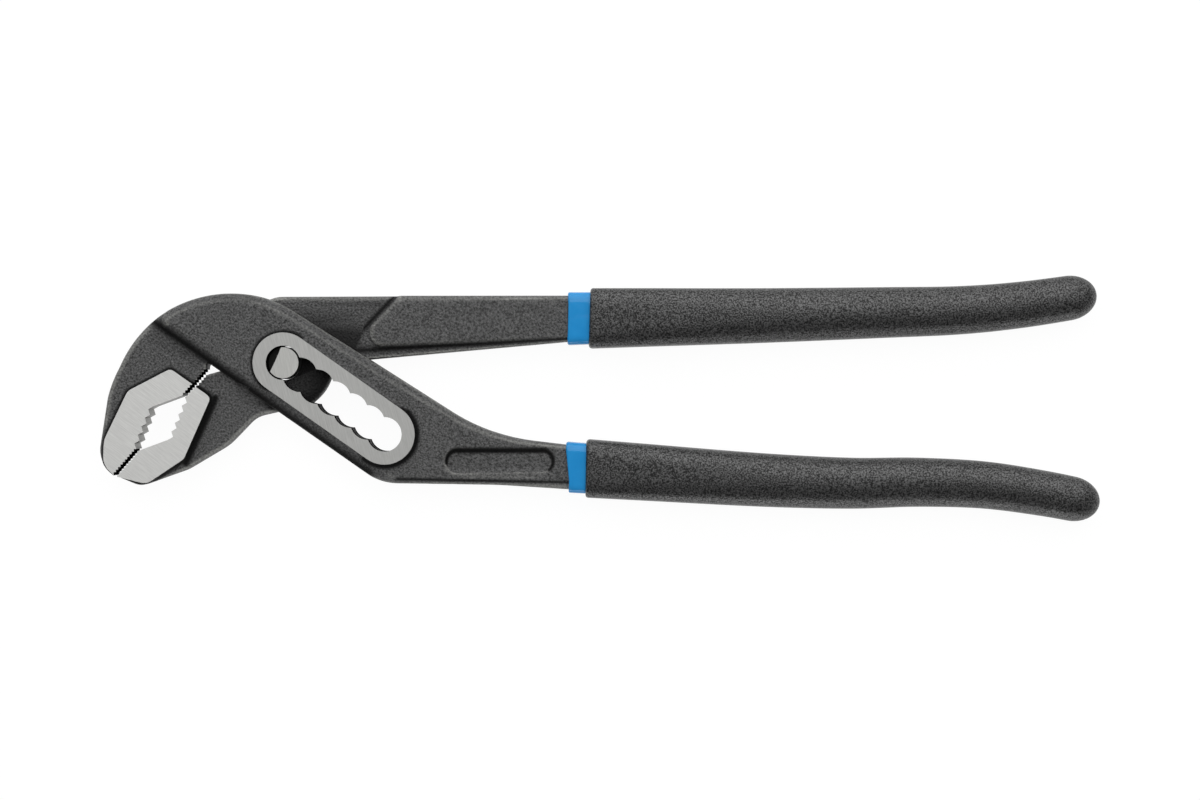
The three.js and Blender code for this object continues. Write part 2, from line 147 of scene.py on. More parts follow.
def rounded(corners, step=0.4, arc_points=24, least=12):
    """Closed outline through corners (x, y, radius), in even steps.

    Each corner gives way to the arc that touches both of its sides, its centre on the line that halves the
    corner, and straight runs join the arcs.
    """
    corners = np.array(corners, float)
    points, radii = corners[:, :2], corners[:, 2:]
    before = np.roll(points, 1, 0) - points
    after = np.roll(points, -1, 0) - points
    before /= np.linalg.norm(before, axis=1, keepdims=True)
    after /= np.linalg.norm(after, axis=1, keepdims=True)
    half = np.arccos(np.clip((before * after).sum(1, keepdims=True), -1, 1)) / 2
    reach = radii / np.tan(half)
    inward = before + after
    inward /= np.maximum(np.linalg.norm(inward, axis=1, keepdims=True), 1e-9)
    centres = points + inward * np.hypot(radii, reach)
    first = points + before * reach - centres
    last = points + after * reach - centres
    start = np.arctan2(first[:, 1], first[:, 0])
    sweep = np.arctan2(last[:, 1], last[:, 0]) - start
    sweep = (sweep + np.pi) % (2 * np.pi) - np.pi
    angles = start[:, None] + sweep[:, None] * np.linspace(0, 1, arc_points)
    arcs = centres[:, None] + radii[:, None] * np.stack([np.cos(angles), np.sin(angles)], -1)
    line = arcs.reshape(-1, 2)
    line = line[np.linalg.norm(line - np.roll(line, 1, 0), axis=1) > 1e-6]
    run = np.append(0, np.cumsum(np.linalg.norm(np.diff(line, axis=0, append=line[:1]), axis=1)))
    line = np.vstack([line, line[:1]])
    even = np.linspace(0, run[-1], max(least, int(run[-1] / step)), endpoint=False)
    return np.stack([np.interp(even, run, line[:, 0]), np.interp(even, run, line[:, 1])], -1)


def skin(rings):
    """Closed skin through rings of points (rings, points, 3): quads between neighbours, and a flat face on
    each end."""
    rings = np.asarray(rings, float)
    count, around = rings.shape[:2]
    place = np.arange(count * around).reshape(count, around)
    onward = np.roll(place, -1, 1)
    quads = np.stack([place[:-1], onward[:-1], onward[1:], place[1:]], -1).reshape(-1, 4)
    return rings.reshape(-1, 3), quads.tolist() + [place[0, ::-1].tolist(), place[-1].tolist()]


def carried(outline, insets, heights, width=None):
    """Plate whose edge is a profile carried along a closed outline: each ring is the outline, moved inwards
    along its own normals by the inset, at that height. An outline that runs clockwise is turned round first.
    Where a width is given, it scales the insets from each point and the way that the edge faces there."""
    onward = np.roll(outline, -1, 0)
    if (outline[:, 0] * onward[:, 1] - outline[:, 1] * onward[:, 0]).sum() < 0:
        outline = outline[::-1]
    tangent = np.roll(outline, -1, 0) - np.roll(outline, 1, 0)
    tangent /= np.linalg.norm(tangent, axis=1, keepdims=True)
    inward = np.stack([-tangent[:, 1], tangent[:, 0]], -1)
    if width:
        inward = inward * width(outline, -inward)[:, None]
    flat = outline[None] + np.asarray(insets, float)[:, None, None] * inward[None]
    level = np.broadcast_to(np.asarray(heights, float)[:, None, None], flat.shape[:2] + (1,))
    return skin(np.concatenate([flat, level], -1))


def slab(outline, low=-BEYOND, high=BEYOND, grow=0.0):
    """Straight prism over an outline, or over one that lies that much outside it."""
    return carried(np.asarray(outline, float), (-grow, -grow), (low, high))


def plate(outline, half, edge=(0.0, 0.0), bow=1.3, width=None, rings=7):
    """Plate about the middle plane, its edges sloped inwards (inset, height) on both faces: the inset grows
    as a power of the way up the slope and the height as the mirrored power, so a bow of 1 is a straight
    bevel."""
    way = np.linspace(0, 1, rings) if edge[0] else np.zeros(1)
    insets = edge[0] * way ** bow
    heights = half - edge[1] * (1 - way) ** bow
    return carried(outline, np.append(insets[::-1], insets), np.append(-heights[::-1], heights), width)


def raised(outline, half, base, skirt, within, rings=7):
    """Face raised over a base level on both sides, inside another outline. Its wall runs out at the foot as a
    square law, from a third of its height down to a skirt that wide."""
    way = np.linspace(0, 1, rings)
    top = base + (half - base) / 3
    heights = np.append(top - (top - base) * way, 0)
    insets = np.append(-skirt * way ** 2, -skirt)
    heights, insets = np.append(half, heights), np.append(0, insets)
    face = carried(outline, np.append(insets, insets[-2::-1]), np.append(-heights, heights[-2::-1]))
    bound = body("within", formed("within", slab(within)))
    return worked(body("face", formed("face", face)), [("INTERSECT", bound)])


def formed(name, shape, finish=None):
    """Mesh in millimetres of points and faces."""
    mesh = bpy.data.meshes.new(name)
    mesh.from_pydata(shape[0].tolist(), [], shape[1])
    mesh.validate()
    if finish:
        mesh.materials.append(finish)
    return mesh


def body(name, mesh, finish=None):
    """Scratch object around a mesh, which takes on the finish where one is given."""
    if finish:
        mesh.materials.clear()
        mesh.materials.append(finish)
    scratch = bpy.data.objects.new(name, mesh)
    bpy.context.scene.collection.objects.link(scratch)
    return scratch


def joined(name, mesh):
    """Step of work that joins on more of the forging."""
    return ("UNION", body(name, mesh, black_forging))


def cut(name, shape, finish):
    """Step of work that cuts a shape away and leaves that finish on the walls of the cut."""
    return ("DIFFERENCE", body(name, formed(name, shape, finish)))


def ground_flat(outline, half, finish, grow=0.0):
    """Steps of work that grind whatever stands over an outline down to a half thickness, on both sides."""
    return [cut("front_grind", slab(outline, low=half, grow=grow), finish),
            cut("rear_grind", slab(outline, high=-half, grow=grow), finish)]


def worked(blank, steps):
    """Mesh of a blank after some steps of work, each a cut or join with another body, or a modifier's
    settings."""
    tools = [step[1] for step in steps if not isinstance(step[1], dict)]
    for kind, what in steps:
        if isinstance(what, dict):
            modifier = blank.modifiers.new(kind, kind)
            for setting, value in what.items():
                setattr(modifier, setting, value)
        else:
            modifier = blank.modifiers.new(kind, "BOOLEAN")
            modifier.operation = kind
            modifier.solver = "MANIFOLD"
            modifier.material_mode = "TRANSFER"
            modifier.object = what
    graph = bpy.context.evaluated_depsgraph_get()
    mesh = bpy.data.meshes.new_from_object(blank.evaluated_get(graph))
    for scratch in [blank, *tools]:
        bpy.data.objects.remove(scratch)
    return mesh


def mark_crests(mesh, limit=1.5, rounds=3):
    """Writes each point's curvature as an attribute: twice the drop to a neighbour below the tangent plane,
    over the square of its distance, averaged over the neighbours and then evened out along the edges."""
    ends = np.empty(len(mesh.edges) * 2, int)
    mesh.edges.foreach_get("vertices", ends)
    points, normals = np.empty((2, len(mesh.vertices) * 3))
    mesh.vertices.foreach_get("co", points)
    mesh.vertices.foreach_get("normal", normals)
    points, normals = points.reshape(-1, 3), normals.reshape(-1, 3)
    ends = np.vstack([ends.reshape(-1, 2), ends.reshape(-1, 2)[:, ::-1]])
    reach = points[ends[:, 1]] - points[ends[:, 0]]
    bend = -2 * (normals[ends[:, 0]] * reach).sum(1) / np.maximum((reach ** 2).sum(1), 1e-4)
    count = np.maximum(np.bincount(ends[:, 0], minlength=len(points)), 1)
    crest = np.bincount(ends[:, 0], np.clip(bend, -limit, limit), len(points)) / count
    for _ in range(rounds):
        crest = (crest + np.bincount(ends[:, 0], crest[ends[:, 1]], len(points)) / count) / 2
    mesh.attributes.new("crest", "FLOAT", "POINT").data.foreach_set("value", crest.astype(np.float32))


def mark_shade(mesh, bands, painted_light_strips, base_shade=None, shares=60):
    """Writes each point's painted shade, up to 1, or its painted light, down to -1.

    A band is painted shade and a strip is painted light: each is a line, as seen from above, with its reach,
    which may change along the line, and an even power. It is full on the line and falls off as the exponential
    of minus that power of the distance over the reach. A strip also has its strength, and gives way to the
    bands. The points are taken in shares, which keeps the table of distances small.
    """
    points = np.empty(len(mesh.vertices) * 3, np.float32)
    mesh.vertices.foreach_get("co", points)
    points = points.reshape(-1, 3)
    shade = base_shade(points) if base_shade else np.zeros(len(points))

    def spread(line, reach, power):
        line, reach = line.astype(np.float32), np.float32(reach)
        gap = [(((some[:, None, :2] - line) ** 2).sum(2) / reach ** 2).min(1)
               for some in np.array_split(points, shares)]
        return np.exp(-np.concatenate(gap) ** (power / 2))

    for band in bands:
        shade = np.maximum(shade, spread(*band))
    for line, reach, power, strength in painted_light_strips:
        shade = shade - strength * spread(line, reach, power) * (1 - np.clip(shade, 0, 1))
    mesh.attributes.new("shade", "FLOAT", "POINT").data.foreach_set("value", shade.astype(np.float32))


def piece(name, mesh, sharp=34):
    """Finished piece at its place in the tool, in metres, smooth but for edges sharper than that angle."""
    mark_crests(mesh)
    points = np.empty(len(mesh.vertices) * 3)
    mesh.vertices.foreach_get("co", points)
    points = points.reshape(-1, 3) + (0, 0, MIDDLE)
    mesh.vertices.foreach_set("co", (points / 1000).ravel())
    mesh.name = name
    mesh.polygons.foreach_set("use_smooth", np.ones(len(mesh.polygons), bool))
    mesh.set_sharp_from_angle(angle=math.radians(sharp))
    mesh.update()
    finished = bpy.data.objects.new(name, mesh)
    bpy.context.scene.collection.objects.link(finished)
    return finished


def linear(code):
    """Linear colour of an sRGB hex code: its low part divided by 12.92, the rest raised to the power 2.4."""
    value = np.array([int(code[i:i + 2], 16) for i in (1, 3, 5)]) / 255
    value = np.where(value <= 0.04045, value / 12.92, ((value + 0.055) / 1.055) ** 2.4)
    return (*value.tolist(), 1.0)


def add(tree, kind, inputs=None, **settings):
    """Adds a node with its settings; an input is either a value or another node's output."""
    node = tree.nodes.new(kind)
    for setting, value in settings.items():
        setattr(node, setting, value)
    for name, value in (inputs or {}).items():
        if isinstance(value, bpy.types.NodeSocket):
            tree.links.new(value, node.inputs[name])
        else:
            node.inputs[name].default_value = value
    return node


def new_finish(name):
    """New material: its node tree, its shader, and the coordinates of the piece in metres."""
    material = bpy.data.materials.new(name)
    material.use_nodes = True
    tree = material.node_tree
    place = add(tree, "ShaderNodeTexCoord").outputs["Object"]
    return material, tree, tree.nodes["Principled BSDF"], place


# Black phosphated forging: a dull grey-black skin with the fine sandy grain of a blasted die forging.
# Its crests are lighter, partly as wear and partly as painted highlight, and painted shade blackens its
# corners.
GRAIN_SIZE = 0.6
black_forging, tree, shader, place = new_finish("black phosphated forging")
grain = add(tree, "ShaderNodeTexNoise", {"Vector": place, "Scale": 1000 / GRAIN_SIZE, "Detail": 2.0,
                                         "Roughness": 0.6})
tone = add(tree, "ShaderNodeValToRGB", {"Fac": grain.outputs["Fac"]})
tone.color_ramp.elements[0].position = 0.3
tone.color_ramp.elements[0].color = linear("#1a1a1a")
tone.color_ramp.elements[1].position = 0.7
tone.color_ramp.elements[1].color = linear("#686868")
pits = add(tree, "ShaderNodeBump", {"Height": grain.outputs["Fac"], "Strength": 1.0, "Distance": 0.0006})
crest = add(tree, "ShaderNodeAttribute", attribute_name="crest")
shade = add(tree, "ShaderNodeAttribute", attribute_name="shade")
# Crests are lightened partly as wear and partly as painted highlight; strips below zero shade are painted light
# on walls turned to the lamps
crest_wear_and_highlight = add(tree, "ShaderNodeMapRange", {"Value": crest.outputs["Fac"], "From Min": 0.1, "From Max": 0.45})
painted_light_strips = add(tree, "ShaderNodeMapRange", {"Value": shade.outputs["Fac"], "From Min": 0.0, "From Max": -1.0})
wear_and_painted_light = add(tree, "ShaderNodeMath", {0: crest_wear_and_highlight.outputs["Result"], 1: painted_light_strips.outputs["Result"]},
           operation="MAXIMUM")
speckled = add(tree, "ShaderNodeMath", {0: wear_and_painted_light.outputs["Value"], 1: grain.outputs["Fac"]},
               operation="MULTIPLY")
wear_and_highlight_colour = add(tree, "ShaderNodeMix", {"Factor": speckled.outputs["Value"], "A": tone.outputs["Color"],
                                   "B": linear("#a4a4a0")}, data_type="RGBA")
# Painted shade: the shade attribute blackens the skin toward #101010 and dulls its reflection on walls and
# bevels turned from the lamps
skin_with_painted_shade = add(tree, "ShaderNodeMix", {"Factor": shade.outputs["Fac"], "A": wear_and_highlight_colour.outputs["Result"],
                                          "B": linear("#101010")}, data_type="RGBA")
tree.links.new(skin_with_painted_shade.outputs["Result"], shader.inputs["Base Color"])
tree.links.new(pits.outputs["Normal"], shader.inputs["Normal"])
gloss_dulled_by_painted_shade = add(tree, "ShaderNodeMapRange", {"Value": shade.outputs["Fac"], "To Min": 0.4, "To Max": 0.08})
tree.links.new(gloss_dulled_by_painted_shade.outputs["Result"], shader.inputs["Specular IOR Level"])
shader.inputs["Roughness"].default_value = 0.5

# Ground steel: bright bare metal with the fine parallel strokes of a grinding belt, about 0.3 mm apart.
# The jaw faces are ground along a slant, and the land and the pin almost across the handles.
STROKE_LENGTH = 6.0
STROKE_WIDTH = 0.28
STROKE_DARK = 0.8
ground = {}
for part, colour, slant in (("jaw", "#dfdfdd", -37), ("land", "#c0c0be", -75), ("pin", "#c8c8c5", -80)):
    ground[part], tree, shader, place = new_finish("ground steel of the " + part)
    stroke = (STROKE_LENGTH / 1000, STROKE_WIDTH / 1000, STROKE_LENGTH / 1000)
    turned = add(tree, "ShaderNodeMapping", {"Vector": place, "Rotation": (0, 0, math.radians(slant)),
                                             "Scale": stroke}, vector_type="TEXTURE")
    strokes = add(tree, "ShaderNodeTexNoise", {"Vector": turned.outputs["Vector"], "Scale": 1.0,
                                               "Detail": 4.0, "Roughness": 0.7})
    tone = add(tree, "ShaderNodeValToRGB", {"Fac": strokes.outputs["Fac"]})
    tone.color_ramp.elements[0].position = 0.3
    tone.color_ramp.elements[0].color = [STROKE_DARK * value for value in linear(colour)[:3]] + [1.0]
    tone.color_ramp.elements[1].position = 0.7
    tone.color_ramp.elements[1].color = linear(colour)
    scratches = add(tree, "ShaderNodeBump", {"Height": strokes.outputs["Fac"], "Strength": 0.15,
                                             "Distance": 0.0001})
    tree.links.new(tone.outputs["Color"], shader.inputs["Base Color"])
    tree.links.new(scratches.outputs["Normal"], shader.inputs["Normal"])
    shader.inputs["Metallic"].default_value = 1.0
    shader.inputs["Roughness"].default_value = 0.62

# Cut steel: the walls that a milling cutter or a broach left, dull grey with fine marks down the wall.
# Only the jaws' mouth is cut after blackening; the fine teeth and the slot get painted shade: almost black,
# without reflection.
MARK_WIDTH = 0.5
MARK_LENGTH = 10
MOUTH_BLEND = 0.5
cut_steel, tree, shader, place = new_finish("cut steel of the teeth and slot")
marked = add(tree, "ShaderNodeMapping", {"Vector": place, "Scale": (1000 / MARK_WIDTH, 1000 / MARK_WIDTH,
                                                                    1000 / MARK_LENGTH)})
marks = add(tree, "ShaderNodeTexNoise", {"Vector": marked.outputs["Vector"], "Scale": 1.0, "Detail": 3.0})
tone = add(tree, "ShaderNodeValToRGB", {"Fac": marks.outputs["Fac"]})
tone.color_ramp.elements[0].color = linear("#5c5c5a")
tone.color_ramp.elements[1].color = linear("#9a9a96")
from_tips = add(tree, "ShaderNodeMapping", {"Vector": place, "Location": (*on_bite(0, 0) / 1000, 0),
                                            "Rotation": (0, 0, math.radians(CLOSING_ANGLE)),
                                            "Scale": (0.001, 0.001, 0.001)}, vector_type="TEXTURE")
along = add(tree, "ShaderNodeSeparateXYZ", {"Vector": from_tips.outputs["Vector"]}).outputs["X"]
past_tips = add(tree, "ShaderNodeMapRange", {"Value": along, "From Min": MOUTH[0] - MOUTH_BLEND,
                                             "From Max": MOUTH[0] + MOUTH_BLEND})
before_throat = add(tree, "ShaderNodeMapRange", {"Value": along, "From Min": MOUTH[1] + MOUTH_BLEND,
                                                 "From Max": MOUTH[1] - MOUTH_BLEND})
in_mouth = add(tree, "ShaderNodeMath", {0: past_tips.outputs["Result"], 1: before_throat.outputs["Result"]},
               operation="MULTIPLY")
# Outside the mouth the walls are painted almost black, without reflection, as shade of the narrow gaps
walls = add(tree, "ShaderNodeMix", {"Factor": in_mouth.outputs["Value"], "A": linear("#0c0c0c"),
                                    "B": tone.outputs["Color"]}, data_type="RGBA")
tree.links.new(walls.outputs["Result"], shader.inputs["Base Color"])
tree.links.new(in_mouth.outputs["Value"], shader.inputs["Metallic"])
tree.links.new(in_mouth.outputs["Value"], shader.inputs["Specular IOR Level"])
shader.inputs["Roughness"].default_value = 0.45

last_position = on_slot(SLOT_LENGTH, 0)
arch_centre = on_line(SLOT_ANGLE + BOX_FLARE, ARCH_SHIFT, BOX_UPPER_EDGE - ARCH_RADIUS)
root_drop = BOX_LOWER_EDGE - arch_centre @ polar(SLOT_ANGLE + 90)
root_angle = SLOT_ANGLE + 90 + math.degrees(math.acos(root_drop / ARCH_RADIUS))


def arch(start, end, count=90):
    """Corners along the arch, which is part of a circle tangent to the box's upper edge, a little fuller on
    top and a little flatter on the hook's back: the rise over the circle runs straight between the angles at
    which it is given."""
    angles = np.linspace(start, end, count)
    radii = ARCH_RADIUS + np.interp(angles, *ARCH_RISE)
    return [corner(point) for point in arch_centre + polar(angles, radii)]


def run_along(points, distance, steps=60):
    """Places and directions at these distances along a smooth curve through points, and its length: a
    Catmull-Rom curve, cut into short straight steps, and carried straight on past both ends."""
    points = np.asarray(points, float)
    padded = np.vstack([2 * points[0] - points[1], points, 2 * points[-1] - points[-2]])
    a, b, c, d = padded[:-3], padded[1:-2], padded[2:-1], padded[3:]
    t = np.linspace(0, 1, steps, endpoint=False)[None, :, None]
    a, b, c, d = (end[:, None] for end in (a, b, c, d))
    square, cube = 2 * a - 5 * b + 4 * c - d, 3 * b - a - 3 * c + d
    fine = 0.5 * (2 * b + (c - a) * t + square * t ** 2 + cube * t ** 3)
    fine = np.vstack([fine.reshape(-1, 2), points[-1:]])
    run = np.append(0, np.cumsum(np.linalg.norm(np.diff(fine, axis=0), axis=1)))
    held = np.clip(distance, 0, run[-1])
    centre = np.stack([np.interp(held, run, fine[:, 0]), np.interp(held, run, fine[:, 1])], -1)
    slope = np.gradient(fine, run, axis=0)
    slope = np.stack([np.interp(held, run, slope[:, 0]), np.interp(held, run, slope[:, 1])], -1)
    slope /= np.linalg.norm(slope, axis=1, keepdims=True)
    return centre + slope * (distance - held)[:, None], slope, run[-1]


def handle_rings(points, width, distance, grow, crown, power, scale, fillet=0.0, bow=0.0, tilt=0.0, count=96):
    """Sections across a handle end: rounded oblongs, a sine and a cosine raised to a power, with a circle of
    radius fillet carried round them. They taper with the tang and stand outside it by grow, and by crown
    more on the broad faces. Each is bowed along the handle by bow times one minus the square of the way
    across, and tilted by tilt times the way across."""
    centre, slope, length = run_along(points, distance)
    way = np.clip(distance / length, 0, 1)
    wide = scale * ((width + (TANG_END_WIDTH - width) * way) / 2 + grow - fillet)
    high = scale * (TANG_HALF + (TANG_END_HALF - TANG_HALF) * way + grow + crown - fillet)
    around = (np.arange(count) + 0.5) * 2 * np.pi / count
    power = np.broadcast_to(power, distance.shape)[:, None]
    bent = [np.sign(wave) * np.abs(wave) ** power for wave in (np.cos(around), np.sin(around))]
    across = np.stack([-slope[:, 1], slope[:, 0]], -1)
    fillet = (np.broadcast_to(fillet, distance.shape) * scale)[:, None]
    aside = wide[:, None] * bent[0] + fillet * np.cos(around)
    level = high[:, None] * bent[1] + fillet * np.sin(around)
    bowed = np.broadcast_to(bow, distance.shape)[:, None] * (1 - bent[0] ** 2)
    onward = bowed + np.broadcast_to(tilt, distance.shape)[:, None] * bent[0]
    flat = centre[:, None] + aside[..., None] * across[:, None] + onward[..., None] * slope[:, None]
    return np.concatenate([flat, level[..., None]], -1)


def oblong(distance, first, last):
    """Power of a handle's section: the first value near the mouth, passing evenly to the last one."""
    return np.interp(distance, SECTION_SPAN, (first, last))


def tang(points, width, steps=40):
    """Step of work that joins on a tang. Its last sections shrink as a cosine while they move on as a sine."""
    turn = np.radians((25, 50, 70, 85))
    distance = np.append(np.linspace(0, TANG_LENGTH, steps), TANG_LENGTH + TANG_TIP * np.sin(turn))
    scale = np.append(np.ones(steps), np.cos(turn))
    rings = handle_rings(points, width, distance, 0, 0, oblong(distance, *TANG_POWERS), scale)
    return joined("tang", formed("tang", skin(rings)))


def plate_end(points, width):
    """Corners of a handle plate from its lower edge at the sleeve's mouth, round its end, to the upper edge."""
    centre, slope, _ = run_along(points, np.array([0.0, PLATE_LAP]))
    side = np.array([-slope[0, 1], slope[0, 0]]) * width / 2
    around = (centre[0] - side, centre[1] - side, centre[1] + side, centre[0] + side)
    return [corner(point) for point in around]


def thinned(shape, start, end, share):
    """The same shape, drawn thinner in even measure along the handle from start to end."""
    points = shape[0].copy()
    points[:, 2] *= 1 - (points[:, 0] - start) / (end - start) * (1 - share)
    return points, shape[1]


def rise(value, start, span):
    """Share that grows evenly from 0 at the start to 1 a span further on."""
    return np.clip((value - start) / span, 0, 1)


def teeth(start, end, count, depth, shift=0.0):
    """Row of V teeth from start to end, cut that deep on the left, the first tip that share of a tooth past
    the start."""
    step = (np.asarray(end) - start) / count
    inward = np.array([-step[1], step[0]]) / np.linalg.norm(step) * depth
    tips = start + (np.arange(count)[:, None] + shift) * step
    return np.stack([tips, tips + step / 2 + inward], 1).reshape(-1, 2)


def bite(side):
    """Cutter for everything past a jaw's working edge: fine teeth at the tip and throat, and between them the
    mouth, with coarse teeth on its longer wall. Side is 1 for the hook and -1 for the lower jaw, whose fine
    teeth stand opposite the gaps between the hook's."""
    gap = side * JAW_GAP / 2
    tip, throat = on_bite(0, gap), on_bite(BITE_LENGTH, gap)
    front, back = on_bite(MOUTH[0], gap), on_bite(MOUTH[1], gap)
    if side > 0:
        apex = on_bite(MOUTH[0] + MOUTH_WALL, gap + MOUTH_DEPTH)
        edge = [teeth(tip, front, *FINE_TEETH), teeth(front, apex, *MOUTH_TEETH), [apex],
                teeth(back, throat, *FINE_TEETH), [throat]]
    else:
        apex = on_bite(MOUTH[1] - MOUTH_WALL, gap - MOUTH_DEPTH)
        edge = [[throat], teeth(throat, back, *FINE_TEETH, HALF_TOOTH), teeth(back, apex, *MOUTH_TEETH),
                [apex], [front], teeth(front, tip, *FINE_TEETH, HALF_TOOTH), [tip]]
    edge = np.vstack(edge)
    outward = polar(CLOSING_ANGLE - 90 * side, 3 * MOUTH_DEPTH)
    onward = polar(CLOSING_ANGLE, side * MOUTH_DEPTH)
    waste = [edge[-1] + outward + onward, edge[0] + outward - onward, edge[0] - onward]
    return slab(np.vstack([edge, waste]))


LOWER_PATH = last_position + np.array([(54.6, -9.9), (76.6, -11.4), (112.9, -13.8), (139.6, -14.8),
                                       (159.6, -14.5), (179.6, -15.3), (197.6, -17.8), (212.6, -20.7)])
handle_mouth = LOWER_PATH[0, 0]
box_outline = rounded([
    *arch(SLOT_ANGLE + BOX_FLARE + 90, root_angle - 9),
    corner(arch_centre + polar(root_angle, ARCH_RADIUS), ARCH_ROOT_ROUND),
    corner(last_position + (-1.4, -14.7), 16),
    corner(last_position + (34.1, -15.25), 150),
    *plate_end(LOWER_PATH, LOWER_TANG_WIDTH),
    corner(last_position + (31.1, -0.4), 60),
])
hook_outline = rounded([
    corner(on_bite(BITE_LENGTH, JAW_GAP / 2)),
    corner(on_bite(BITE_LENGTH - 0.6, -MOUTH_DEPTH)),
    corner(on_bite(0, -MOUTH_DEPTH)),
    corner(on_bite(-0.8, 6.6), 9),
    *arch(HOOK_BACK_ANGLE, root_angle - 10),
    corner(arch_centre + polar(root_angle - 20, ARCH_RADIUS - 4.4)),
    corner(on_slot(-20, BOX_LOWER_EDGE + 2.9)),
])
hook_face = rounded([
    corner(on_slot(-18, JAW_FACE_TOP)),
    corner(on_slot(-26.6, JAW_FACE_TOP), 1.5),
    corner(on_bite(21.6, 13.7), 3),
    corner(on_bite(5.9, 9.4), 6),
    corner(on_bite(-0.1, 4.6), 6),
    corner(on_bite(0, 0)),
    corner(on_bite(0, -MOUTH_DEPTH)),
    corner(on_bite(MOUTH[1], -MOUTH_DEPTH)),
])
half_turn = np.linspace(90, 270, 60)
land_outline = np.vstack([polar(SLOT_ANGLE + half_turn, LAND_RADIUS),
                          last_position + polar(SLOT_ANGLE + 180 + half_turn, LAND_RADIUS)])

# The slot is seven round holes in a row that run into one another, so its wall is a chain of arcs.
# Each arc ends where its circle meets the next one.
meet = math.degrees(math.acos(SLOT_PITCH / 2 / SCALLOP_RADIUS))
inner_places = np.arange(1, SLOT_POSITIONS - 1)
arc_runs = [(SLOT_POSITIONS - 1, meet - 180, 180 - meet)]
arc_runs += [(i, meet, 180 - meet) for i in inner_places[::-1]]
arc_runs += [(0, meet, 360 - meet)]
arc_runs += [(i, 180 + meet, 360 - meet) for i in inner_places]
slot_outline = np.vstack([
    on_slot(i * SLOT_PITCH, 0) + polar(SLOT_ANGLE + np.linspace(start, end, 40), SCALLOP_RADIUS)[:-1]
    for i, start, end in arc_runs])

recess_place = last_position + RECESS_FROM_SLOT
recess_outline = np.vstack([recess_place + (-RECESS_REACH, 0) + polar(half_turn, RECESS_RADIUS),
                            recess_place + (RECESS_REACH, 0) + polar(180 + half_turn, RECESS_RADIUS)])
window = [on_line(WINDOW_FRONT_ANGLE, WINDOW_FRONT, -WINDOW_ACROSS),
          on_line(WINDOW_FRONT_ANGLE, WINDOW_FRONT, WINDOW_ACROSS),
          on_slot(SLOT_LENGTH, -WINDOW_ACROSS),
          on_slot(SLOT_LENGTH + WINDOW_PAST_SLOT, -WINDOW_ACROSS),
          on_slot(SLOT_LENGTH + WINDOW_PAST_SLOT, WINDOW_ACROSS)]
whole_tool = [(-200, -200), (400, -200), (400, 200), (-200, 200)]
thin_share = TANG_HALF / BOX_HALF


def bevel_width(points, facing):
    """The bevel is half as wide again along the box's lower edge, and narrows towards the mouth of the
    sleeve, most of all on the handle's upper edge."""
    lower = rise(facing @ polar(SLOT_ANGLE - 90), *LOWER_FACING)
    loss = np.where(facing[:, 1] > 0, *HANDLE_BEVEL_LOSS)
    return 1 + LOWER_BEVEL_GAIN * lower - loss * rise(points[:, 0], HANDLE_START, handle_mouth - HANDLE_START)


box = thinned(plate(box_outline, BOX_HALF, BOX_ROUND, width=bevel_width), 0, handle_mouth, thin_share)
hook = plate(hook_outline, HOOK_HALF, HOOK_ROUND)
hook_plateau = raised(hook_face, JAW_FACE_HALF + GRIND_STOCK, HOOK_HALF, FACE_SKIRT, hook_outline)
land = raised(land_outline, LAND_HALF + GRIND_STOCK, BOX_HALF - LAND_SUNK, FACE_SKIRT, box_outline)
recess_floor = BOX_HALF * (1 - recess_place[0] / handle_mouth * (1 - thin_share)) - RECESS_DEPTH
recess = carried(recess_outline, (RECESS_DRAFT, 0, 0), (recess_floor, recess_floor + 1, BEYOND))
softened = [
    ("REMESH", {"mode": "VOXEL", "voxel_size": FORGED_GRID}),
    ("SMOOTH", {"factor": 0.5, "iterations": FORGED_SMOOTHING}),
    ("DECIMATE", {"ratio": FORGED_KEPT}),
]
outer_mesh = worked(body("outer_blank", formed("outer_blank", box), black_forging), [
    joined("hook", formed("hook", hook)),
    joined("hook_plateau", hook_plateau),
    joined("land", land),
    cut("recess", recess, black_forging),
    *softened,
    cut("window", slab(window, -WINDOW_HALF, WINDOW_HALF), black_forging),
    *ground_flat(whole_tool, LAND_HALF, ground["land"]),
    *ground_flat(hook_face, JAW_FACE_HALF, ground["jaw"], GRIND_PAST_FACE),
    cut("slot", slab(slot_outline), cut_steel),
    cut("hook_bite", bite(1), cut_steel),
    tang(LOWER_PATH, LOWER_TANG_WIDTH),
])

# Lines of painted shade, and strips of painted light, on the skin: a place, a reach, and a power that is soft
# or firm
SOFT = 2
FIRM = 4
BROW_RADIUS = 3.4
BROW_LEVEL = 3.3
UNDER_HANDLE = ((34, 54, 85), (-34.8, -35.2, -35.8))
HANDLE_FOOT = ((34, 54, 66.5, 75, 85), (-35.8, -36.05, -36.4, -36.9, -37.3))
FOOT_REACH = ((34, 54, 75, 85), (0.2, 0.4, 0.85, 1.0))


def knotted(along, aside, count=120):
    """Line along the handle that runs straight between knots."""
    way = np.linspace(along[0], along[-1], count)
    return np.stack([way, np.interp(way, along, aside)], -1)


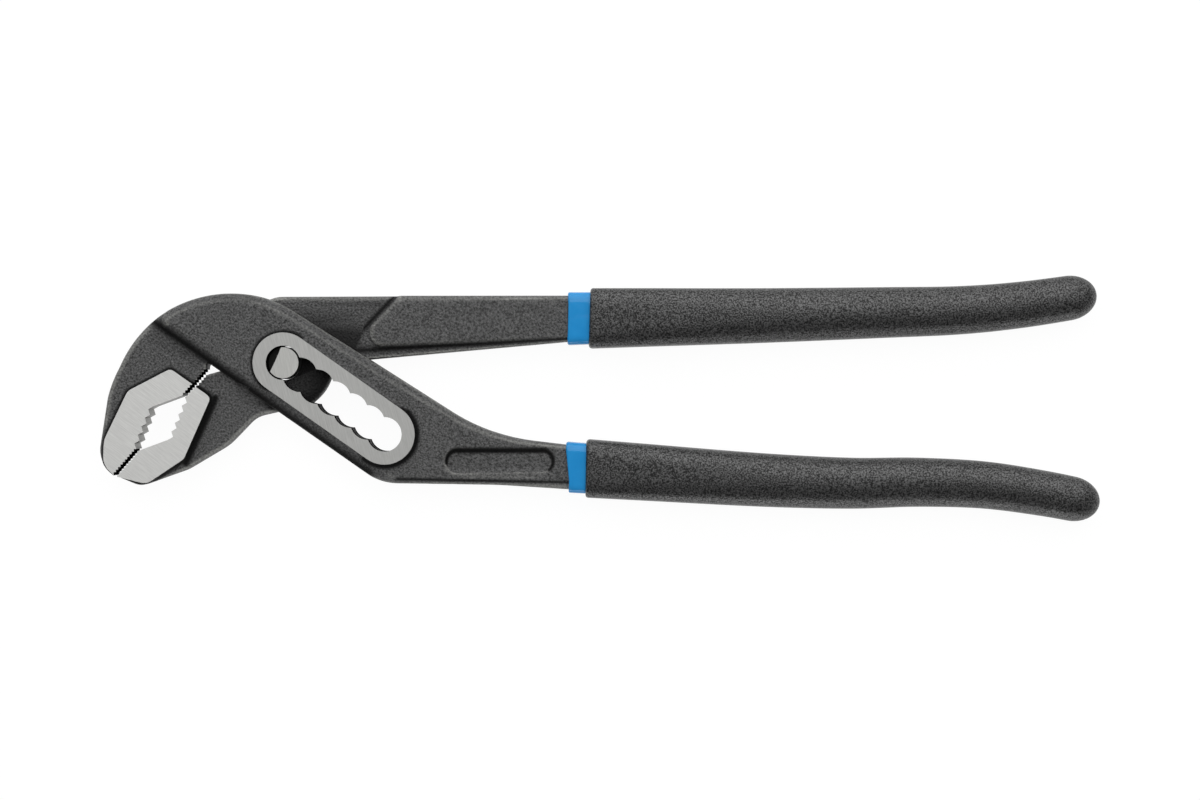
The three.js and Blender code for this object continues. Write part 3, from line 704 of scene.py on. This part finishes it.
shoulder = on_slot(np.linspace(-45, 40, 300), BOX_LOWER_EDGE + 0.9)
land_end = last_position + polar(SLOT_ANGLE + np.linspace(-95, 80, 60), LAND_RADIUS + 0.5)
recess_brow = recess_place + np.vstack([
    (-RECESS_REACH, 0) + polar(np.linspace(190, 90, 40), BROW_RADIUS),
    np.linspace((-RECESS_REACH, BROW_LEVEL), (RECESS_REACH, BROW_LEVEL), 60),
    (RECESS_REACH, 0) + polar(np.linspace(90, -50, 50), BROW_RADIUS)])
brow_reach = np.concatenate([np.linspace(0.5, 1.0, 40), np.full(60, 1.0), np.linspace(1.0, 0.5, 50)])
under_recess = recess_place + np.linspace((-11, -4.7), (11, -4.7), 60)
foot = knotted(*HANDLE_FOOT)
outer_painted_shade = [(land_outline, 0.95, FIRM), (land_end, 1.0, FIRM), (hook_face, 1.0, FIRM),
               (shoulder, 1.8, SOFT), (recess_brow, brow_reach, FIRM), (knotted(*UNDER_HANDLE), 0.55, SOFT)]
outer_painted_light = [(foot, np.interp(foot[:, 0], *FOOT_REACH), FIRM, 0.9), (under_recess, 0.7, SOFT, 0.3)]
mark_shade(outer_mesh, outer_painted_shade, outer_painted_light)
outer_lever = piece("outer_lever_forging", outer_mesh)
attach(outer_lever, "outer")
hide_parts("outer_lever")

# INNER LEVER
# The second forging: the lower jaw, the thin web that passes through the box and turns in it, and the upper
# handle, which is thick again from a slanting step on.
# It has the same black skin and the same ground jaw face.
WEB_HALF = 2.5
WEB_RADIUS = 14.6
WEB_ROUND = (0.7, 1.0)
UNDER_FACING = (0.9, 0.08)
UNDER_START = (16, 8)
UNDER_BEVEL_GAIN = 1.3
LOWER_THROAT = 40.4
LOWER_FACE_SKIRT = 1.3
STEP_TOP = (34.3, 20.2)
STEP_FOOT = (18.9, 4.3)
UPPER_HANDLE_HALF = 4.1
UPPER_HANDLE_ROUND = (2.2, 1.6)
UPPER_HANDLE_BOW = 1.8
UPPER_TANG_WIDTH = 13.9
UPPER_PATH = np.array([(85, 13.3), (107, 13.7), (143.3, 14.3), (179.5, 15.2), (203, 15.9), (222, 17.6),
                       (242, 20.5)])
PIN_CLEARANCE = 0.3

web_outline = rounded([
    corner(on_bite(LOWER_THROAT, -JAW_GAP / 2)),
    corner(on_bite(LOWER_THROAT, MOUTH_DEPTH)),
    corner(on_bite(0, MOUTH_DEPTH)),
    corner(on_bite(0, -JAW_GAP / 2)),
    corner(on_bite(2.3, -7.6), 5),
    corner(on_bite(15.4, -15), 12),
    corner(on_bite(29.1, -19.5), 16),
    (-8.5, -16.2, 8),
    corner(polar(-60, WEB_RADIUS)),
    (14.4, 0, 4),
    *plate_end(UPPER_PATH, UPPER_TANG_WIDTH),
    (-6.6, 19.9, 9),
    (-16.2, -1.5, 3),
])
handle_outline = rounded([corner(STEP_TOP), corner(STEP_FOOT, 4.5), *plate_end(UPPER_PATH, UPPER_TANG_WIDTH)])
lower_face = rounded([
    corner(on_slot(-19, JAW_FACE_TOP)),
    corner(on_slot(-11.8, JAW_FACE_TOP), 1.6),
    corner(on_bite(17.3, -12.3), 2),
    corner(on_bite(4.3, -8.8), 4),
    corner(on_bite(0, -JAW_GAP / 2)),
    corner(on_bite(0, MOUTH_DEPTH)),
    corner(on_bite(MOUTH[1], MOUTH_DEPTH)),
])
full_turn = np.linspace(0, 360, 120, endpoint=False)


def web_bevel(points, facing):
    """The web's edge is broken more than twice as wide along the underside of the handle."""
    under = rise(-facing[:, 1], *UNDER_FACING) * rise(points[:, 0], *UNDER_START)
    return 1 + UNDER_BEVEL_GAIN * under


web = plate(web_outline, WEB_HALF, WEB_ROUND, width=web_bevel)
web_disc = plate(polar(full_turn, WEB_RADIUS), WEB_HALF)
upper_handle = thinned(plate(handle_outline, UPPER_HANDLE_HALF, UPPER_HANDLE_ROUND, UPPER_HANDLE_BOW),
                       STEP_TOP[0], UPPER_PATH[0, 0], TANG_HALF / UPPER_HANDLE_HALF)
lower_plateau = raised(lower_face, JAW_FACE_HALF + GRIND_STOCK, WEB_HALF, LOWER_FACE_SKIRT, web_outline)
inner_mesh = worked(body("inner_blank", formed("inner_blank", web), black_forging), [
    joined("web_disc", formed("web_disc", web_disc)),
    joined("upper_handle", formed("upper_handle", upper_handle)),
    joined("lower_plateau", lower_plateau),
    *softened,
    *ground_flat(lower_face, JAW_FACE_HALF, ground["jaw"], GRIND_PAST_FACE),
    cut("lower_bite", bite(-1), cut_steel),
    cut("pin_bore", slab(polar(full_turn, PIN_RADIUS + PIN_CLEARANCE)), cut_steel),
    tang(UPPER_PATH, UPPER_TANG_WIDTH),
])

# Painted shade darkens the web inside the box, and its lines get painted shade and light as the outer lever's
# do
WEB_SHADE = 0.95
WEB_SHADE_PAST_RIM = 0.5
WEB_SHADE_ABOVE = 0.2
HANDLE_LIP = ((36, 70.3, 85), (2.2, 5.4, 6.7))
LIP_REACH = ((36, 70, 85), (0.25, 0.5, 0.5))


def shade_on_web(points):
    """Painted shade of the web: full within the round that turns in the box, and fading out at its rim."""
    inside = np.clip(WEB_RADIUS + WEB_SHADE_PAST_RIM - np.hypot(points[:, 0], points[:, 1]), 0, 1)
    return WEB_SHADE * inside * (np.abs(points[:, 2]) < WEB_HALF + WEB_SHADE_ABOVE)


step_line = np.linspace((33.6, 20.6), (18.4, 4.6), 80)
underside = np.linspace((18.6, 3.6), (85, 7.2), 200)
underside_reach = np.linspace(1.2, 0.6, 200)
lip = knotted(*HANDLE_LIP)
top_edge = np.linspace((-2, 19.3), (85, 19.4), 200)
face_right = np.linspace(on_slot(-10.9, JAW_FACE_TOP + 0.3), on_bite(16.6, -13.1), 80)
inner_painted_shade = [(lower_face, 1.0, FIRM), (face_right, 1.3, FIRM), (step_line, 0.9, SOFT),
               (underside, underside_reach, SOFT)]
inner_painted_light = [(lip, np.interp(lip[:, 0], *LIP_REACH), FIRM, 0.9), (top_edge, 0.8, SOFT, 0.45)]
mark_shade(inner_mesh, inner_painted_shade, inner_painted_light, shade_on_web)
inner_lever = piece("inner_lever_forging", inner_mesh)
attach(inner_lever, "inner")
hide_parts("inner_lever")

# JOINT PIN
# A turned steel pin, held in the web and so turning with the inner lever.
# Each end has a flat milled on it, which lets it pass from one scallop of the slot to the next.
# Its faces are ground with the lands.
PIN_FLAT = 2.5
PIN_FLAT_DIRECTION = 155.8
PIN_CHAMFER = 0.18
TOLERANCE = 0.01

# Dark pin steel: the pin's shank and flats, turned, and coloured almost black as painted shade of the slot.
pin_steel_painted_dark, _, shader, _ = new_finish("pin steel painted dark as shade")
shader.inputs["Base Color"].default_value = linear("#2e2e2d")
shader.inputs["Metallic"].default_value = 1.0
shader.inputs["Roughness"].default_value = 0.55

# Each ring's radius is the pin's, or the flat's distance over the cosine of the angle from it where that is
# less; the two angles at which the flat begins and ends are among the points
flat_half_angle = np.degrees(np.arccos(PIN_FLAT / PIN_RADIUS))
turn = np.append(full_turn, PIN_FLAT_DIRECTION + flat_half_angle * np.array([-1, 1]))
turn = np.sort(turn % 360)
off_flat = np.cos(np.radians(turn - PIN_FLAT_DIRECTION))
to_flat = np.where(off_flat > TOLERANCE, PIN_FLAT / np.maximum(off_flat, TOLERANCE), PIN_RADIUS)
flatted = np.minimum(PIN_RADIUS, to_flat)
pin_heights = np.array([LAND_HALF, LAND_HALF - PIN_CHAMFER, WEB_HALF, WEB_HALF])
pin_radii = np.stack([flatted - PIN_CHAMFER, flatted, flatted, np.full_like(flatted, PIN_RADIUS)])
pin_heights = np.append(-pin_heights, pin_heights[::-1])
pin_radii = np.vstack([pin_radii, pin_radii[::-1]])
pin_rings = np.concatenate([polar(turn[None], pin_radii),
                            np.broadcast_to(pin_heights[:, None, None], pin_radii.shape + (1,))], -1)
pin = piece("d_ended_pin", formed("pin", skin(pin_rings), pin_steel_painted_dark))
pin.data.materials.append(ground["pin"])
pin_ends = [abs(face.center[2] * 1000 - MIDDLE) > LAND_HALF - TOLERANCE for face in pin.data.polygons]
pin.data.polygons.foreach_set("material_index", np.array(pin_ends, np.int32))
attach(pin, "inner")
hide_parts("joint_pin")

# BASE DIPS
# Each tang is first dipped in blue plastic, which dries to a smooth glossy coat about 0.8 mm thick.
# The coat follows the tang's oblong section, and only a collar of it is left bare in front of the sleeve.
DIP_GROW = (0.2, 1.0)
DIP_LIP = 0.6
DIP_TIP = 7.0
DIP_POWERS = (0.06, 0.65)
DIP_EDGE = 2.2
DIP_BOW = 0.5
DIP_TILT = {"upper": 0.2, "lower": -0.85}
MOUTH_FADE = 2

# Blue dipped plastic: smooth, glossy soft PVC whose skin flows a little, so that its gloss wavers.
FLOW_SIZE = 4
blue_dip, tree, shader, place = new_finish("blue dipped plastic")
flow = add(tree, "ShaderNodeTexNoise", {"Vector": place, "Scale": 1000 / FLOW_SIZE, "Detail": 1.0})
tone = add(tree, "ShaderNodeValToRGB", {"Fac": flow.outputs["Fac"]})
tone.color_ramp.elements[0].color = linear("#1685c8")
tone.color_ramp.elements[1].color = linear("#2694d6")
ripple = add(tree, "ShaderNodeBump", {"Height": flow.outputs["Fac"], "Strength": 0.15, "Distance": 0.0006})
tree.links.new(tone.outputs["Color"], shader.inputs["Base Color"])
tree.links.new(ripple.outputs["Normal"], shader.inputs["Normal"])
shader.inputs["Roughness"].default_value = 0.1
shader.inputs["Specular IOR Level"].default_value = 0.4


def sleeve(points, width, mouth, grows, lip, tip, powers, crown=0.0, fillet=0.0, bow=0.0, tilt=0.0, steps=60):
    """Sleeve closed at the tip, as rings from the end of its bore out to the mouth, over a rounded lip, and
    along its outside. Towards the tip each section shrinks as a cosine while it moves on as a sine. The bow
    and tilt of the mouth die away as an exponential."""
    bore, outside = grows
    length = run_along(points, np.zeros(1))[2]
    turn = np.radians(np.linspace(0, 88, 14))

    def run(start, grow):
        straight = length + grow - tip
        distance = np.append(np.linspace(start, straight, steps)[:-1], straight + tip * np.sin(turn))
        return distance, np.full(len(distance), grow), np.append(np.ones(steps - 1), np.cos(turn))

    inside = [part[::-1] for part in run(mouth, bore)]
    rim = np.radians(np.linspace(0, 90, 7))[:-1]
    edge = [mouth + lip * (1 - np.cos(rim)), outside - lip * (1 - np.sin(rim)), np.ones(len(rim))]
    shell = run(mouth + lip, outside)
    distance, grow, scale = (np.concatenate(parts) for parts in zip(inside, edge, shell))
    in_bore = np.arange(len(distance)) < len(inside[0])
    power = np.where(in_bore, oblong(distance, *TANG_POWERS), oblong(distance, *powers))
    fade = np.exp((mouth - distance) / MOUTH_FADE)
    return skin(handle_rings(points, width, distance, grow, np.where(in_bore, 0, crown), power, scale,
                             np.where(in_bore, 0, fillet), bow * fade, tilt * fade))


handles = {"upper": (UPPER_PATH, UPPER_TANG_WIDTH, "inner"), "lower": (LOWER_PATH, LOWER_TANG_WIDTH, "outer")}
for side, (points, width, rides) in handles.items():
    coat = sleeve(points, width, 0.0, DIP_GROW, DIP_LIP, DIP_TIP, DIP_POWERS, fillet=DIP_EDGE, bow=DIP_BOW,
                  tilt=DIP_TILT[side])
    dip = piece(side + "_blue_dip", formed(side + "_dip", coat, blue_dip))
    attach(dip, rides)
    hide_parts(side + "_base_dip")

# GRIPS
# Over the blue coat each handle is dipped again in black plastic that foams as it cures, up to a line that
# leaves the collar bare.
# The sleeve is soft and thick, with a rounded mouth and tip and a fine bubbly grain.
GRIP_GROW = (1.2, 2.25)
GRIP_LIP = 1.0
GRIP_TIP = 8.5
GRIP_CROWN = 0.35
GRIP_POWERS = (0.5, 0.92)
GRIP_MOUTH = {"upper": 6.6, "lower": 5.6}
GRIP_TILT = {"upper": 0.4, "lower": -0.4}

# Black foamed plastic: dull, with a skin of fine closed bubbles that catch the light as specks.
BUBBLE_SIZE = 0.45
black_foam, tree, shader, place = new_finish("black foamed plastic")
bubbles = add(tree, "ShaderNodeTexNoise", {"Vector": place, "Scale": 1000 / BUBBLE_SIZE, "Detail": 3.0,
                                           "Roughness": 0.55})
tone = add(tree, "ShaderNodeValToRGB", {"Fac": bubbles.outputs["Fac"]})
tone.color_ramp.elements[0].position = 0.44
tone.color_ramp.elements[0].color = linear("#060606")
tone.color_ramp.elements[1].position = 0.62
tone.color_ramp.elements[1].color = linear("#303030")
grainy = add(tree, "ShaderNodeBump", {"Height": bubbles.outputs["Fac"], "Strength": 1.0, "Distance": 0.00012})
tree.links.new(tone.outputs["Color"], shader.inputs["Base Color"])
tree.links.new(grainy.outputs["Normal"], shader.inputs["Normal"])
sparkle = add(tree, "ShaderNodeMapRange", {"Value": bubbles.outputs["Fac"], "From Min": 0.4, "From Max": 0.62,
                                           "To Min": 0.25, "To Max": 1.35})
tree.links.new(sparkle.outputs["Result"], shader.inputs["Specular IOR Level"])
shader.inputs["Roughness"].default_value = 0.36

for side, (points, width, rides) in handles.items():
    foam = sleeve(points, width, GRIP_MOUTH[side], GRIP_GROW, GRIP_LIP, GRIP_TIP, GRIP_POWERS, GRIP_CROWN,
                  tilt=GRIP_TILT[side])
    grip = piece(side + "_foam_grip", formed(side + "_grip", foam, black_foam))
    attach(grip, rides)
    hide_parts(side + "_grip")

# STAGE
# A white table under a broad white lamp overhead, with a low lamp behind the tool and one in front of it.
# It is seen straight from above, as in the photograph. Sizes here are in metres.
CAMERA_OVER = (0.09473, -0.01112, 0.8065)
CAMERA_LENS = 79.68
CAMERA_SENSOR = 36
TABLE_HALF = 3
TABLE_PLAIN = 0.93
LAMP_AIM = (0.1, 0, 0)
bpy.context.scene.view_settings.view_transform = "Standard"
camera = bpy.data.objects.new("camera", bpy.data.cameras.new("camera"))
camera.location = CAMERA_OVER
camera.data.lens = CAMERA_LENS
camera.data.sensor_width = CAMERA_SENSOR
bpy.context.scene.collection.objects.link(camera)
bpy.context.scene.camera = camera

# White table: matt white paper, which the camera and the shiny pieces see as nearly even white
white_table, tree, shader, _ = new_finish("white table")
shader.inputs["Base Color"].default_value = linear("#f4f4f4")
shader.inputs["Roughness"].default_value = 0.9
seen = add(tree, "ShaderNodeLightPath")
shown = add(tree, "ShaderNodeMath", {0: seen.outputs["Is Camera Ray"], 1: seen.outputs["Is Glossy Ray"]},
            operation="MAXIMUM")
shown = add(tree, "ShaderNodeMath", {0: shown.outputs["Value"], 1: seen.outputs["Is Transmission Ray"]},
            operation="MAXIMUM")
shown = add(tree, "ShaderNodeMath", {0: shown.outputs["Value"], 1: TABLE_PLAIN}, operation="MULTIPLY")
plain = add(tree, "ShaderNodeEmission", {"Color": (1, 1, 1, 1), "Strength": 1.03})
table = add(tree, "ShaderNodeMixShader", {0: shown.outputs["Value"], 1: shader.outputs["BSDF"],
                                          2: plain.outputs["Emission"]})
tree.links.new(table.outputs["Shader"], tree.nodes["Material Output"].inputs["Surface"])
table_corners = np.array([(-1, -1, 0), (1, -1, 0), (1, 1, 0), (-1, 1, 0)], float) * TABLE_HALF
floor = body("floor", formed("floor", (table_corners, [[0, 1, 2, 3]]), white_table))

world = bpy.data.worlds.new("studio")
world.use_nodes = True
world.node_tree.nodes["Background"].inputs["Color"].default_value = (1, 1, 1, 1)
world.node_tree.nodes["Background"].inputs["Strength"].default_value = 0.25
bpy.context.scene.world = world

for name, spot, size, height, power in (("key", (0.1, 0.75, 0.95), 3.4, 1.6, 26.0),
                                        ("back", (0.1, 1.5, 0.2), 1.8, 0.3, 2.4),
                                        ("fill", (0.1, -1.2, 0.14), 1.8, 0.26, 4.5)):
    lamp = bpy.data.objects.new(name, bpy.data.lights.new(name, "AREA"))
    lamp.data.shape = "RECTANGLE"
    lamp.data.size = size
    lamp.data.size_y = height
    lamp.data.energy = power
    lamp.location = spot
    aim = np.array(LAMP_AIM) - spot
    lamp.rotation_euler = (math.atan2(math.hypot(aim[0], aim[1]), -aim[2]), 0, math.atan2(-aim[0], aim[1]))
    bpy.context.scene.collection.objects.link(lamp)
